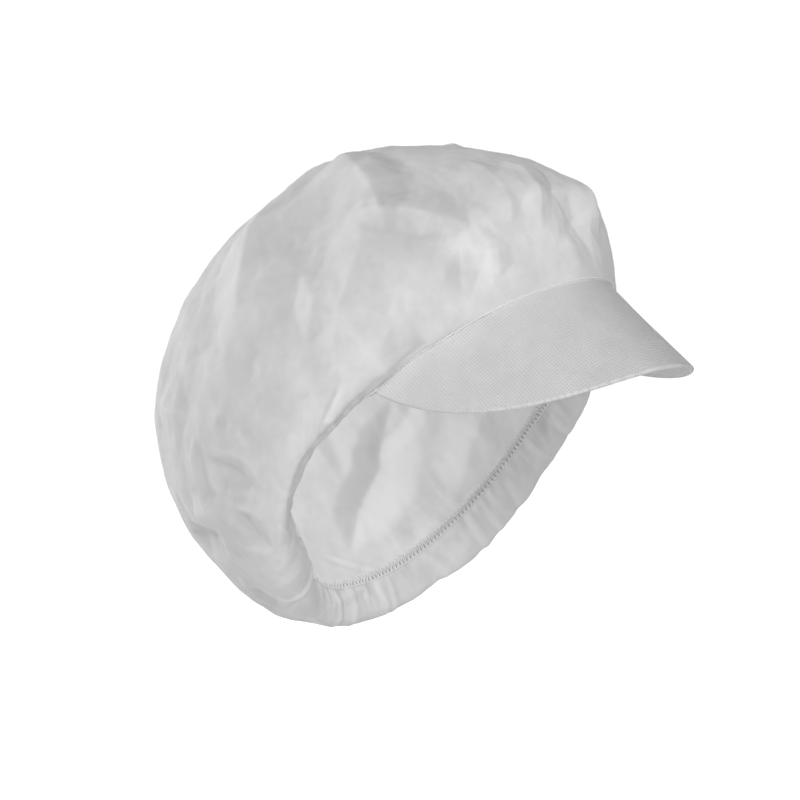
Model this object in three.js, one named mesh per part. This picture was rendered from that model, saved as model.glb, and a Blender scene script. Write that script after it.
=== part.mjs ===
// A disposable nonwoven cap with a gathered bouffant crown and a stiff sewn peak.
// Millimetres. World frame: +Z up as worn, -Y to the front, +X to the wearer's left,
// origin at the centre of the head opening.
//
// Everything hangs on one tilted group, the head opening's own frame: x across the head,
// y from the forehead (-) to the nape (+), z out of the opening's plane into the crown.
// phi runs round the opening: 0 at the forehead, +90 degrees at the wearer's left ear.

import * as THREE from "three";

const DEG = Math.PI / 180;

// Head opening: an oval, egg-shaped and slightly saddle-shaped, tilted forehead-high.
const OPENING_TILT = 48 * DEG;
const OPENING_LENGTH = 200;
const OPENING_WIDTH = 150;
const FOREHEAD_TAPER = 0.12;
const SADDLE = 7;

// Crown: a soft bag. Each list is a level, its forehead-to-nape change and its front-and-back
// change, as one cosine series round the opening.
const BAG_SWELL = [22, -5, 4];
const BAG_LEAN = 5;
const LIP_DROP = [20, -24, -7];
const SHOULDER_HEIGHT = [29.5, -5, 3.5];
const DOME_POWER = [1.76, -0.5, 0.21];
const CROWN_HEIGHT = 141;
const CROWN_SKIN = 1;
const LIP_SHARE = 0.3;

// Peak: straight lines fanning out from one apex above the opening, so it is a piece of a cone.
const PEAK_DEPTH = 55;
const PEAK_HALF_SPAN = 73 * DEG;
const PEAK_ROUNDING = 3.4;
const PEAK_FULLNESS = 0.9;
const APEX_BEHIND_FOREHEAD = 45;
const APEX_HEIGHT = 360;
const FLEX_CLEARANCE = 5;
const END_FLEX_CLEARANCE = 11;
const PLY_HALF_SPAN = 60 * DEG;

// Peak plies, from the outside in: each ply's top and its thickness below the outer surface.
const PLY_GAP = 0.3;
const FACE_PLY = 0.5;
const STIFFENER_PLY = 0.8;

// Sewn edge of the opening.
const ELASTIC_RADIUS = 1;
const THREAD_RADIUS = 0.4;
const FIT_GAP = 0.5;
const OVERLOCK_WIDTH = 4;
const LOOPER_THICKNESS = 0.4;
const PEAK_SEAM_INSET = 6.5;
const ELASTIC_LAP = 12;

// Facets.
const ROUND_STEPS = 72;
const CROWN_ROWS = 24;
const PEAK_STEPS = 40;
const THREAD_SIDES = 6;
const ELASTIC_SIDES = 8;

const X = new THREE.Vector3(1, 0, 0);

// Value of a short cosine series at an angle round the opening.
function series([level, foreAndAft, twice], phi) {
  return level + foreAndAft * Math.cos(phi) + twice * Math.cos(2 * phi);
}

// Point on the fabric's cut edge, round the head opening.
function openingEdge(phi) {
  const taper = 1 - FOREHEAD_TAPER * Math.cos(phi);
  return new THREE.Vector3(
    (OPENING_WIDTH / 2) * Math.sin(phi) * taper,
    (-OPENING_LENGTH / 2) * Math.cos(phi),
    -SADDLE * Math.cos(2 * phi),
  );
}

function bezier(a, b, c, d, s) {
  const r = 1 - s;
  return r * r * r * a + 3 * r * r * s * b + 3 * r * s * s * c + s * s * s * d;
}

// Crown profile: reach from the opening's axis and height, at share t of the way to the top.
// The lip rolls down and out from the edge, then a superelliptic dome closes over the head.
function crownProfile(phi, t) {
  const edge = openingEdge(phi);
  const reach = Math.hypot(edge.x, edge.y);
  const swell = series(BAG_SWELL, phi) - BAG_LEAN * Math.sin(phi);
  const drop = series(LIP_DROP, phi);
  const shoulder = series(SHOULDER_HEIGHT, phi);
  const full = reach + swell;
  if (t < LIP_SHARE) {
    const s = t / LIP_SHARE;
    return {
      reach: bezier(reach, reach + swell / 4, full, full, s),
      height: bezier(edge.z, edge.z - drop, (3 / 4) * shoulder - drop, shoulder, s),
    };
  }
  const climb = ((t - LIP_SHARE) / (1 - LIP_SHARE)) * (Math.PI / 2);
  const power = 2 / series(DOME_POWER, phi);
  return {
    reach: full * Math.max(Math.cos(climb), 0) ** power,
    height: shoulder + (CROWN_HEIGHT - shoulder) * Math.sin(climb) ** power,
  };
}

// Point on the crown's outer surface.
function crownPoint(phi, t) {
  const edge = openingEdge(phi);
  const { reach, height } = crownProfile(phi, t);
  const scale = reach / Math.hypot(edge.x, edge.y);
  return new THREE.Vector3(edge.x * scale, edge.y * scale, height);
}

// Direction up the fabric and outward normal of the crown at a point.
function crownFrame(phi, t) {
  const dPhi = 0.01;
  const dT = 0.004;
  const low = Math.max(t - dT, 0);
  const high = Math.min(t + dT, 1);
  const up = crownPoint(phi, high).sub(crownPoint(phi, low)).normalize();
  const middle = Math.min(t, 1 - dT);
  const round = crownPoint(phi + dPhi, middle).sub(crownPoint(phi - dPhi, middle)).normalize();
  const out = new THREE.Vector3().crossVectors(round, up).normalize();
  return { up, out };
}

// Point on the fabric a distance in from its cut edge, with the frame there.
function sewnLine(phi, distance) {
  const probe = 0.01;
  const stride = crownPoint(phi, probe).distanceTo(crownPoint(phi, 0));
  const t = (distance / stride) * probe;
  return { at: crownPoint(phi, t), ...crownFrame(phi, t) };
}

// Collects triangles and turns them into a geometry with flat facets.
class Facets {
  constructor() {
    this.positions = [];
  }

  triangle(a, b, c) {
    for (const p of [a, b, c]) this.positions.push(p.x, p.y, p.z);
  }

  quad(a, b, c, d) {
    this.triangle(a, b, c);
    this.triangle(a, c, d);
  }

  geometry() {
    const made = new THREE.BufferGeometry();
    made.setAttribute("position", new THREE.Float32BufferAttribute(this.positions, 3));
    made.computeVertexNormals();
    return made;
  }
}

// Solid through a row of equal closed sections, as a closed ring or with flat ends.
// A section runs counter-clockwise as seen from the section after it.
function loft(sections, isRing) {
  const facets = new Facets();
  const sides = sections[0].length;
  const joints = isRing ? sections.length : sections.length - 1;
  for (let i = 0; i < joints; i++) {
    const here = sections[i];
    const next = sections[(i + 1) % sections.length];
    for (let k = 0; k < sides; k++) {
      const m = (k + 1) % sides;
      facets.quad(here[k], here[m], next[m], next[k]);
    }
  }
  if (!isRing) {
    const last = sections[sections.length - 1];
    for (let k = 1; k < sides - 1; k++) {
      facets.triangle(sections[0][0], sections[0][k + 1], sections[0][k]);
      facets.triangle(last[0], last[k], last[k + 1]);
    }
  }
  return facets.geometry();
}

// Round section about a centre, in the plane of two directions.
function roundSection(centre, first, second, radius, sides) {
  return Array.from({ length: sides }, (_, k) => {
    const angle = (k / sides) * 2 * Math.PI;
    return centre
      .clone()
      .addScaledVector(first, radius * Math.cos(angle))
      .addScaledVector(second, radius * Math.sin(angle));
  });
}

function angles(from, to, steps) {
  return Array.from({ length: steps + 1 }, (_, i) => from + ((to - from) * i) / steps);
}

// Angles of a full turn, without repeating the first.
function fullTurn() {
  return angles(0, 2 * Math.PI, ROUND_STEPS).slice(0, -1);
}

// The bouffant bag: one thin skin, open at the head opening.
function crown() {
  const turn = fullTurn();
  const rows = Array.from({ length: CROWN_ROWS }, (_, j) => (j / CROWN_ROWS) ** 1.5);
  const outer = rows.map((t) => turn.map((phi) => crownPoint(phi, t)));
  const inner = rows.map((t, j) =>
    turn.map((phi, i) => outer[j][i].clone().addScaledVector(crownFrame(phi, t).out, -CROWN_SKIN)),
  );
  const top = new THREE.Vector3(0, 0, CROWN_HEIGHT);
  const innerTop = new THREE.Vector3(0, 0, CROWN_HEIGHT - CROWN_SKIN);
  const facets = new Facets();
  for (let i = 0; i < ROUND_STEPS; i++) {
    const m = (i + 1) % ROUND_STEPS;
    for (let j = 0; j < CROWN_ROWS - 1; j++) {
      facets.quad(outer[j][i], outer[j][m], outer[j + 1][m], outer[j + 1][i]);
      facets.quad(inner[j][m], inner[j][i], inner[j + 1][i], inner[j + 1][m]);
    }
    facets.quad(inner[0][i], inner[0][m], outer[0][m], outer[0][i]);
    facets.triangle(outer[CROWN_ROWS - 1][i], outer[CROWN_ROWS - 1][m], top);
    facets.triangle(inner[CROWN_ROWS - 1][m], inner[CROWN_ROWS - 1][i], innerTop);
  }
  return facets.geometry();
}

// Covered elastic just outside the cut edge. Its two ends lap side by side at the nape,
// the inner end one thickness further in.
function rimElastic() {
  const lapAngle = ELASTIC_LAP / (OPENING_LENGTH / 2);
  const run = angles(-Math.PI - lapAngle / 2, Math.PI + lapAngle / 2, ROUND_STEPS);
  const sections = run.map((phi) => {
    const { at, up, out } = sewnLine(phi, 0);
    const inset = Math.max(0, (phi - (Math.PI - 3 * lapAngle)) / (2 * lapAngle));
    const sideStep = (2 * ELASTIC_RADIUS + FIT_GAP) * Math.min(inset, 1);
    const centre = at
      .clone()
      .addScaledVector(up, -(ELASTIC_RADIUS + FIT_GAP) - sideStep)
      .addScaledVector(out, -CROWN_SKIN / 2);
    return roundSection(centre, up, out, ELASTIC_RADIUS, ELASTIC_SIDES);
  });
  return loft(sections, false);
}

// A strand of thread on one face of the fabric, at a distance in from the cut edge.
function strandSection(phi, distance, side) {
  const { at, up, out } = sewnLine(phi, distance);
  const skin = side > 0 ? 0 : CROWN_SKIN;
  const centre = at.clone().addScaledVector(out, side * (skin + FIT_GAP + THREAD_RADIUS));
  return roundSection(centre, up, out, THREAD_RADIUS, THREAD_SIDES);
}

// The overlock's straight needle line, on the outer face of the rim.
function rimNeedleThread() {
  return loft(
    fullTurn().map((phi) => strandSection(phi, OVERLOCK_WIDTH, 1)),
    true,
  );
}

// One looper thread of the overlock, as the flat band that its loops cover on one face.
function rimLooperThread(side) {
  const skin = side > 0 ? 0 : CROWN_SKIN;
  const near = side * (skin + FIT_GAP);
  const far = side * (skin + FIT_GAP + LOOPER_THICKNESS);
  const [low, high] = [Math.min(near, far), Math.max(near, far)];
  const sections = fullTurn().map((phi) => {
    const start = sewnLine(phi, FIT_GAP);
    const end = sewnLine(phi, OVERLOCK_WIDTH - 2 * THREAD_RADIUS - FIT_GAP);
    return [
      end.at.clone().addScaledVector(end.out, low),
      end.at.clone().addScaledVector(end.out, high),
      start.at.clone().addScaledVector(start.out, high),
      start.at.clone().addScaledVector(start.out, low),
    ];
  });
  return loft(sections, true);
}

// One thread of the seam that holds the peak, on one face of the crown.
function peakSeamThread(side) {
  const run = angles(-PEAK_HALF_SPAN, PEAK_HALF_SPAN, PEAK_STEPS);
  return loft(
    run.map((phi) => strandSection(phi, PEAK_SEAM_INSET, side)),
    false,
  );
}

// Line of the peak's cone through the opening's edge: its start, direction and outward normal.
function peakLine(phi) {
  const apex = new THREE.Vector3(0, APEX_BEHIND_FOREHEAD - OPENING_LENGTH / 2, APEX_HEIGHT);
  const start = openingEdge(phi);
  const along = start.clone().sub(apex).normalize();
  const d = 0.01;
  const round = openingEdge(phi + d).sub(openingEdge(phi - d));
  const out = new THREE.Vector3().crossVectors(along, round).normalize();
  return { start, along, out };
}

// How far the peak reaches from the opening's edge.
function peakReach(phi) {
  const share = Math.abs(phi / PEAK_HALF_SPAN);
  return PEAK_DEPTH * (1 - share ** PEAK_ROUNDING) ** PEAK_FULLNESS;
}

// How far off the seam the stiff plies start, so that the peak can flex against the crown.
function plyStart(phi) {
  const share = (phi / PLY_HALF_SPAN) ** 2;
  return FLEX_CLEARANCE + (END_FLEX_CLEARANCE - FLEX_CLEARANCE) * share;
}

// One ply of the peak, lying between two depths below the peak's outer surface.
function peakPly(top, thickness) {
  const sections = angles(-PLY_HALF_SPAN, PLY_HALF_SPAN, PEAK_STEPS).map((phi) => {
    const { start, along, out } = peakLine(phi);
    const corner = (reach, depth) =>
      start.clone().addScaledVector(along, reach).addScaledVector(out, -depth);
    const bottom = top + thickness;
    return [
      corner(plyStart(phi), top),
      corner(peakReach(phi), top),
      corner(peakReach(phi), bottom),
      corner(plyStart(phi), bottom),
    ];
  });
  return loft(sections, false);
}

const FINISH = {
  crown_nonwoven: { color: 0xe4e5e5, roughness: 0.75, metalness: 0 },
  peak_nonwoven: { color: 0xd6d7d7, roughness: 0.8, metalness: 0 },
  stiffener: { color: 0xe9e9e6, roughness: 0.7, metalness: 0 },
  elastic: { color: 0xe8e8e6, roughness: 0.6, metalness: 0 },
  thread: { color: 0xededeb, roughness: 0.65, metalness: 0 },
};

function mesh(name, geometry, finish) {
  const made = new THREE.Mesh(geometry, new THREE.MeshStandardMaterial(FINISH[finish]));
  made.name = name;
  return made;
}

const stiffenerTop = FACE_PLY + PLY_GAP;
const lowerTop = stiffenerTop + STIFFENER_PLY + PLY_GAP;

const cap = new THREE.Group();
cap.add(
  mesh("crown", crown(), "crown_nonwoven"),
  mesh("rim_elastic", rimElastic(), "elastic"),
  mesh("rim_needle_thread", rimNeedleThread(), "thread"),
  mesh("rim_upper_looper_thread", rimLooperThread(1), "thread"),
  mesh("rim_lower_looper_thread", rimLooperThread(-1), "thread"),
  mesh("peak_seam_needle_thread", peakSeamThread(1), "thread"),
  mesh("peak_seam_looper_thread", peakSeamThread(-1), "thread"),
  mesh("peak_upper_ply", peakPly(0, FACE_PLY), "peak_nonwoven"),
  mesh("peak_stiffener", peakPly(stiffenerTop, STIFFENER_PLY), "stiffener"),
  mesh("peak_lower_ply", peakPly(lowerTop, FACE_PLY), "peak_nonwoven"),
);
cap.quaternion.setFromAxisAngle(X, -OPENING_TILT);

const part = new THREE.Group();
part.add(cap);

export default part;
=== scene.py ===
import math

import bpy
import numpy as np
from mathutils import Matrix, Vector


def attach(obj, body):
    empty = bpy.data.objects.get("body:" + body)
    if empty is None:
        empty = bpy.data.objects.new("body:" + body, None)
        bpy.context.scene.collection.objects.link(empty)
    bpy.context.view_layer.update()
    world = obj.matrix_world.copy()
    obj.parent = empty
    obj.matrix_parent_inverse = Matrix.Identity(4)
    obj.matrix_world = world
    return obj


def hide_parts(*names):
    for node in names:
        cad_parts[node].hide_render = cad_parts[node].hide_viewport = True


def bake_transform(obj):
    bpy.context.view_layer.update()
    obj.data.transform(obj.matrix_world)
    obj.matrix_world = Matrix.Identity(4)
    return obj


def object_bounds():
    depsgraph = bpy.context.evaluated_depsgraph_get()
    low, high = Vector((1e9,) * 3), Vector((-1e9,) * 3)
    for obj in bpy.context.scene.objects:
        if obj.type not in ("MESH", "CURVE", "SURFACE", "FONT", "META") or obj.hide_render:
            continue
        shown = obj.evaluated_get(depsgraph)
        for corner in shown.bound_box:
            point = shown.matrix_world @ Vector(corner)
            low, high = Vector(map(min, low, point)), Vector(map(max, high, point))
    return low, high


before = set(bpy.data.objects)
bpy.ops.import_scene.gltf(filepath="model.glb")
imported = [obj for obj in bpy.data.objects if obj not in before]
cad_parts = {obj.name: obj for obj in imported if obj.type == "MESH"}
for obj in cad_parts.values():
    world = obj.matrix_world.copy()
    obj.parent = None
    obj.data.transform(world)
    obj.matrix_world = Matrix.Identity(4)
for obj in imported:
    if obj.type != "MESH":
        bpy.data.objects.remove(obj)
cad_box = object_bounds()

# A disposable nonwoven cap: gathered bouffant crown, overlocked elastic rim, embossed peak.
# The cap is modelled in millimetres in the head opening's own frame: x to the wearer's left,
# y from forehead to nape, z out of the opening into the crown. to_world() tilts it as worn
# and turns it into metres. phi runs round the opening, 0 at the forehead and +90 degrees at
# the wearer's left ear; t runs from the sewn edge, 0, to the top of the crown, 1.

MM = 0.001
DEG = math.pi / 180
UPWARD = np.array([0, 0, 1.0])
SMALLEST = 1e-9

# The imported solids' outline. Each series holds a level and its shares of cos(phi) and cos(2 phi).
OPENING_TILT = 48 * DEG
OPENING_LENGTH = 200
OPENING_WIDTH = 150
FOREHEAD_TAPER = 0.12
SADDLE = 7
BAG_SWELL = (22, -5, 4)
BAG_LEAN = 5
LIP_DROP = (20, -24, -7)
SHOULDER_HEIGHT = (29.5, -5, 3.5)
DOME_POWER = (1.76, -0.5, 0.21)
CROWN_HEIGHT = 141
LIP_SHARE = 0.3
TOP_ROUNDING = 0.09
PEAK_DEPTH = 55
PEAK_HALF_SPAN = 73 * DEG
PEAK_ROUNDING = 3.4
PEAK_FULLNESS = 0.9
APEX = np.array([0, -55, 360])

# Where the cloth leaves that outline: a softer shoulder, a slack rim, and a lip that is tucked up
# on the wearer's right. A place is a phi and a width in degrees, and a span of t has two ends.
PROFILE_EASE = 0.035
EASE_WEIGHTS = ((-2, 0.12), (-1, 0.24), (0, 0.28), (1, 0.24), (2, 0.12))
EASE_STARTS = (0.03, 0.22)
EASE_ENDS = (0.88, 0.99)
RIM_EASE = 1.0
RIM_SLACK = ((-108, 28, 2 * RIM_EASE), (-137, 20, -9), (94, 22, -5.5))
RIM_SLACK_ENDS = (0.02, 0.2)
LIP_TUCK = 13
LIP_TUCK_PLACE = (-90, 26)
LIP_TUCK_STARTS = (0.0, 0.06)
LIP_TUCK_ENDS = (0.14, 0.32)
LIP_LEAN = 0.25

# Where the loose sides take over from the flat front: none at the first phi, all at the second.
RIM_EASE_FROM = (60 * DEG, 80 * DEG)
GATHERS_FROM = (62 * DEG, 80 * DEG)
PLEATS_FROM = (62 * DEG, 84 * DEG)
TUCKED_UP_TO = (60 * DEG, 78 * DEG)
SEWN_FROM = (68 * DEG, 78 * DEG)
GATHERED_FROM = (60 * DEG, 105 * DEG)

# Mesh fineness, fineness of what is measured along curves, and the steps in phi and t that
# surface directions are measured over.
CROWN_COLUMNS = 720
CROWN_ROWS = 200
CROWN_TOP = 0.9985
ROW_BUNCHING = 0.55
BOARD_COLUMNS = 160
BOARD_ROWS = 30
ALLOWANCE_COLUMNS = 320
ELASTIC_STEPS = 720
NEEDLE_STEPS = 2400
SEAM_STEPS = 900
PEAK_COLUMNS = 460
PEAK_ROWS = 130
PEAK_BUNCHING = 0.35
EDGE_ROLL_ROWS = 7
THREAD_SIDES = 6
ELASTIC_SIDES = 10
EDGE_SAMPLES = 720
ARC_SAMPLES = 2000
TABLE_COLUMNS = 361
TABLE_ROWS = 241
NORMAL_STEP_PHI = 0.01
NORMAL_STEP_T = 0.004

# Sewing. The nearer STITCH_SHOWN is to 1, the longer a running stitch shows before it dips, and
# the greater TUCK_TURN is, the sooner the edge turns over where it begins to tuck in.
STITCH_PITCH = 2.2
STITCH_SAMPLES = 12
NEEDLE_LINE = 2.3
THREAD_RADIUS = 0.27
ELASTIC_RADIUS = 0.75
PEAK_SEAM_INSET = 0.9
SEAM_STITCH = 3.2
ALLOWANCE_DEPTH = 4.6
ALLOWANCE_TUCK = 4.4
ALLOWANCE_CROSSING = 2.5
ALLOWANCE_ROW = 1.6
ALLOWANCE_HALF_SPAN = 78 * DEG
ALLOWANCE_SHARES = (0.4, 0.8, 1.0)
ELASTIC_GAP = 0.25
STITCH_UNEVENNESS = (0.9, 1.12)
STITCH_SNAP = 4
STITCH_SHOWN = 0.75
STITCH_LIFT = 0.02
STITCH_DIP = 0.08
LOOP_BELOW_ELASTIC = 0.45
LOOP_ROUNDING = 0.9
LOOP_SPREAD = 1.5
LOOP_GAP = 0.05
THREAD_GAP = 0.15
TUCK_TURN = 20
SEWN_BAND = (1.6, 3.0)
CLOTH_STEP = 3.0

# The peak's plies, as depths below its outer surface, and the board's margins inside them.
UPPER_TOP = 0.0
BOARD_TOP = 0.8
BOARD_THICKNESS = 0.8
LOWER_BOTTOM = 2.4
EDGE_ROLL = 1.2
BOARD_HALF_SPAN = 66 * DEG
BOARD_EDGE_MARGIN = 2.0
BOARD_SEAM_MARGIN = 2.5
PEAK_SAG = 0.5
PEAK_SAG_SIZE = 38
PEAK_SAG_STARTS = (2, 25)
PEAK_END_GAP = 0.002
PEAK_LEAST_REACH = 0.8

# Mean radii that turn phi into a distance round the cap.
RIM_RADIUS = 88
PLEAT_RADIUS = 90
CLOTH_RADIUS = 95

rng = np.random.default_rng(20)


# ---------------------------------------------------------------- camera and studio

# Camera: a long lens, a little above the rim's height, in front of the wearer's right side.
CAMERA_AZIMUTH = -48 * DEG
CAMERA_ELEVATION = 10 * DEG
CAMERA_DISTANCE = 1.4
CAMERA_LENS = 144.2
CAMERA_SHIFT = (-0.068, 0.031)
CAMERA_FAR = 50

# The studio: softboxes by name, with azimuth and elevation in degrees, distance, size and watts.
SOFTBOXES = (
    ("key", -45, 32, 1.6, 0.7, 9.6),
    ("right", -62, 18, 1.8, 1.2, 11.5),
    ("front", 0, 8, 1.8, 1.2, 3.0),
    ("left", 45, 20, 1.6, 1.0, 4.6),
    ("left_behind", 120, 5, 1.4, 0.6, 3.4),
    ("behind", -175, 20, 2.0, 1.0, 20),
    ("behind_low", 165, -8, 2.0, 1.0, 17),
)
BACKDROP_LEVEL = 1.15
AMBIENT_LEVEL = 0.055
FLOOR_DROP = 0.35
FLOOR_HALF = 6.0


def place_facing(name, data, azimuth, elevation, distance):
    """Adds a camera or light that faces the origin from a direction and a distance."""
    flat = math.cos(elevation)
    back = Vector((math.sin(azimuth) * flat, -math.cos(azimuth) * flat, math.sin(elevation)))
    placed = bpy.data.objects.new(name, data)
    placed.location = back * distance
    placed.rotation_euler = back.to_track_quat("Z", "Y").to_euler()
    bpy.context.scene.collection.objects.link(placed)
    return placed


def make_camera():
    data = bpy.data.cameras.new("camera")
    data.lens = CAMERA_LENS
    data.shift_x, data.shift_y = CAMERA_SHIFT
    data.clip_end = CAMERA_FAR
    camera = place_facing("camera", data, CAMERA_AZIMUTH, CAMERA_ELEVATION, CAMERA_DISTANCE)
    bpy.context.scene.camera = camera


def add_softbox(name, azimuth, elevation, distance, size, watts):
    """A square area light that faces the cap, placed by its direction in degrees."""
    data = bpy.data.lights.new(name, "AREA")
    data.shape = "SQUARE"
    data.size = size
    data.energy = watts
    place_facing(name, data, azimuth * DEG, elevation * DEG, distance)


def make_world():
    """A white backdrop that lights the cap less than it shows."""
    world = bpy.data.worlds.new("studio")
    world.use_nodes = True
    nodes, links = world.node_tree.nodes, world.node_tree.links
    background = nodes["Background"]
    background.inputs["Color"].default_value = (1, 1, 1, 1)
    path = nodes.new("ShaderNodeLightPath")
    strength = nodes.new("ShaderNodeMapRange")
    strength.inputs["To Min"].default_value = AMBIENT_LEVEL
    strength.inputs["To Max"].default_value = BACKDROP_LEVEL
    links.new(path.outputs["Is Camera Ray"], strength.inputs["Value"])
    links.new(strength.outputs["Result"], background.inputs["Strength"])
    bpy.context.scene.world = world


def make_floor():
    """A plain pale floor, far enough below the cap to take no shadow."""
    level = cad_box[0].z - FLOOR_DROP
    corners = [(x * FLOOR_HALF, y * FLOOR_HALF, level) for x, y in ((-1, -1), (1, -1), (1, 1), (-1, 1))]
    mesh = bpy.data.meshes.new("floor")
    mesh.from_pydata(corners, [], [(0, 1, 2, 3)])
    mesh.materials.append(floor_white())
    floor = bpy.data.objects.new("floor", mesh)
    bpy.context.scene.collection.objects.link(floor)


# ---------------------------------------------------------------- outline

def to_world(points):
    c, s = math.cos(OPENING_TILT), math.sin(OPENING_TILT)
    x, y, z = points[..., 0], points[..., 1], points[..., 2]
    return np.stack([x, y * c + z * s, z * c - y * s], axis=-1) * MM


def unit(v):
    return v / np.maximum(np.linalg.norm(v, axis=-1, keepdims=True), SMALLEST)


def level_outward(points):
    """The level direction from the opening's middle to each point."""
    outward = points / np.hypot(points[..., 0], points[..., 1])[..., None]
    outward[..., 2] = 0
    return outward


def full_turn(count):
    return np.linspace(-math.pi, math.pi, count, endpoint=False)


def series(levels, phi):
    return levels[0] + levels[1] * np.cos(phi) + levels[2] * np.cos(2 * phi)


def opening_edge(phi):
    taper = 1 - FOREHEAD_TAPER * np.cos(phi)
    x = OPENING_WIDTH / 2 * np.sin(phi) * taper
    y = -OPENING_LENGTH / 2 * np.cos(phi)
    return np.stack([x, y, -SADDLE * np.cos(2 * phi)], axis=-1)


def edge_length():
    phi = np.linspace(-math.pi, math.pi, EDGE_SAMPLES + 1)
    return np.linalg.norm(np.diff(opening_edge(phi), axis=0), axis=-1).sum()


def bezier(a, b, c, d, s):
    r = 1 - s
    return r**3 * a + 3 * r * r * s * b + 3 * r * s * s * c + s**3 * d


def smooth_step(low, high, x):
    s = np.clip((x - low) / (high - low), 0, 1)
    return s * s * (3 - 2 * s)


def wrapped(phi):
    return (phi + math.pi) % (2 * math.pi) - math.pi


def hump(phi, centre, width):
    """1 at an angle round the opening, in degrees, and about a third a width to either side."""
    turn = wrapped(phi - centre * DEG)
    return np.exp(-((turn / (width * DEG)) ** 2))


def crown_base(phi, t):
    """The bag without a crease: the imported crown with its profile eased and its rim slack."""
    phi, t = np.broadcast_arrays(phi, t)
    ease = PROFILE_EASE * smooth_step(*EASE_STARTS, t) * (1 - smooth_step(*EASE_ENDS, t))
    total = 0
    for step, weight in EASE_WEIGHTS:
        total = total + weight * crown_profile(phi, t + step * ease)
    outward = level_outward(opening_edge(phi))
    slack = RIM_EASE * smooth_step(*RIM_EASE_FROM, np.abs(wrapped(phi)))
    for centre, width, amount in RIM_SLACK:
        slack = slack + amount * hump(phi, centre, width)
    slack = slack * (1 - smooth_step(*RIM_SLACK_ENDS, t))
    tuck = LIP_TUCK * hump(phi, *LIP_TUCK_PLACE)
    tuck = tuck * smooth_step(*LIP_TUCK_STARTS, t) * (1 - smooth_step(*LIP_TUCK_ENDS, t))
    lean = outward * LIP_LEAN + UPWARD * (1 - LIP_LEAN)
    return total + outward * slack[..., None] + lean * tuck[..., None]


def crown_profile(phi, t):
    """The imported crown's own surface."""
    edge = opening_edge(phi)
    reach = np.hypot(edge[..., 0], edge[..., 1])
    swell = series(BAG_SWELL, phi) - BAG_LEAN * np.sin(phi)
    drop = series(LIP_DROP, phi)
    shoulder = series(SHOULDER_HEIGHT, phi)
    full = reach + swell
    s = np.clip(t / LIP_SHARE, 0, 1)
    lip_reach = bezier(reach, reach + swell / 4, full, full, s)
    lip_height = bezier(edge[..., 2], edge[..., 2] - drop, 0.75 * shoulder - drop, shoulder, s)
    climb = np.clip((t - LIP_SHARE) / (1 - LIP_SHARE), 0, 1) * math.pi / 2
    power = 2 / series(DOME_POWER, phi)
    dome_reach = full * np.clip(np.cos(climb), 0, None) ** power
    rounded = math.pi / 2 - np.sqrt((math.pi / 2 - climb) ** 2 + TOP_ROUNDING**2)
    dome_height = shoulder + (CROWN_HEIGHT - shoulder) * np.sin(np.clip(rounded, 0, None)) ** power
    in_lip = t < LIP_SHARE
    scale = np.where(in_lip, lip_reach, dome_reach) / reach
    height = np.where(in_lip, lip_height, dome_height)
    return np.stack([edge[..., 0] * scale, edge[..., 1] * scale, height], axis=-1)


def crown_normal(phi, t):
    t = np.clip(t, 0, 1 - 2 * NORMAL_STEP_T)
    around = crown_base(phi + NORMAL_STEP_PHI, t) - crown_base(phi - NORMAL_STEP_PHI, t)
    below = crown_base(phi, np.maximum(t - NORMAL_STEP_T, 0))
    return unit(np.cross(around, crown_base(phi, t + NORMAL_STEP_T) - below))


def cloth_distance(base):
    """Distance up the cloth from its edge, at each point of a grid."""
    steps = np.linalg.norm(np.diff(base, axis=1), axis=-1)
    return np.concatenate([np.zeros((len(base), 1)), np.cumsum(steps, axis=1)], axis=1)


# ---------------------------------------------------------------- noise and creases

# The cloth's crumpling: each layer of facets as a size across, a height and a seed. A span of
# distances up from the edge says where it comes in.
LARGE_FACETS = ((46, 1.2, 1), (23, 1.0, 2))
LARGE_FACETS_START = (3, 30)
SMALL_FACETS = ((11, 0.6, 3), (5.5, 0.24, 5))
SMALL_FACETS_START = (1, 8)
FACET_WARP = 0.3
FACET_WARP_SIZE = 1.7
GATHER_PITCH = 3.8
GATHER_HEIGHT = 0.9
GATHER_REACH = 5
GATHER_STRETCH = 0.1
GATHERED_REACH = 42
EDGE_RELIEF = 0.3
FREE_RELIEF_STARTS = (0.5, 6)

# Turns the facets' grid away from the cap's own axes.
FACET_TURN = np.linalg.qr(np.array([[3.0, 1.0, 2.0], [-1.0, 2.5, 1.5], [-2.0, -1.5, 3.5]]))[0]


# Large odd numbers that scatter neighbouring places into unrelated numbers.
PLACE_SCATTER = np.array([374761393, 668265263, 1442695041])
SEED_SCATTER = 974634777
BIT_SCATTER = 1274126177
LOW_32_BITS = 0xFFFFFFFF
LOW_16_BITS = 0xFFFF


def lattice(cell, seed):
    """A fixed random number from -1 to 1 at each whole-number place."""
    h = ((cell * PLACE_SCATTER).sum(axis=-1) + seed * SEED_SCATTER) & LOW_32_BITS
    h = ((h ^ (h >> 13)) * BIT_SCATTER) & LOW_32_BITS
    return ((h ^ (h >> 16)) & LOW_16_BITS) / (LOW_16_BITS / 2) - 1


def noise(points, size, seed):
    """Smooth noise from -1 to 1 with features about size across."""
    q = points / size
    cell = np.floor(q).astype(np.int64)
    f = smooth_step(0, 1, q - cell)
    total = 0
    for corner in np.ndindex(2, 2, 2):
        weight = np.where(corner, f, 1 - f).prod(axis=-1)
        total = total + weight * lattice(cell + corner, seed)
    return total


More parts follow.
